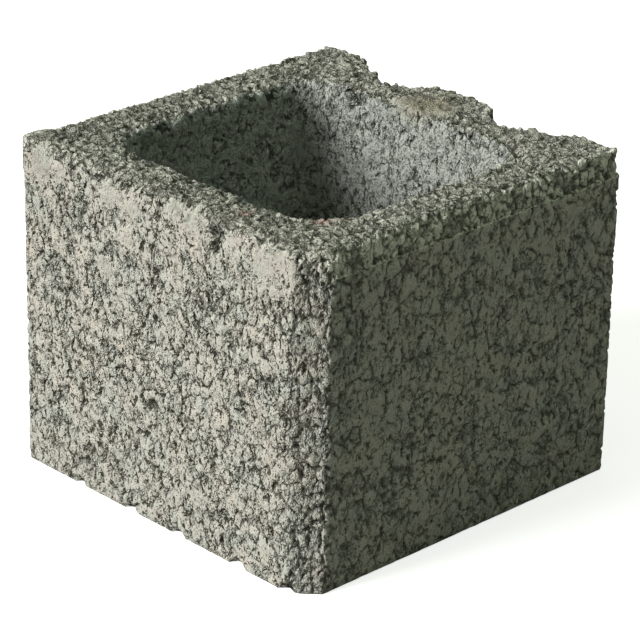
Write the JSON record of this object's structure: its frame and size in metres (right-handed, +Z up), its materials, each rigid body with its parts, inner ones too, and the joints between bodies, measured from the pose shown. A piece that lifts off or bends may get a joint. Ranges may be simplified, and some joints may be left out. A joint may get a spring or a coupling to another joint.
{
  "type": "hollow concrete block",
  "caption": "Hollow concrete end block with a through cell, a plain end with a chamfered corner, and a tongue-and-groove end that interlocks with the next block in a course.",
  "frame": {"origin": "middle of the bed face that the block stands on", "axes": "+X from the plain end to the interlocking end, +Y across the side faces away from the chamfered corner, +Z up through the cell"},
  "size_m": [0.238, 0.233, 0.2],
  "materials": {
    "concrete": "open-textured moulded concrete, matt and rough"
  },
  "bodies": {
    "root": {"hollow_block": "concrete"}
  },
  "joints": []
}
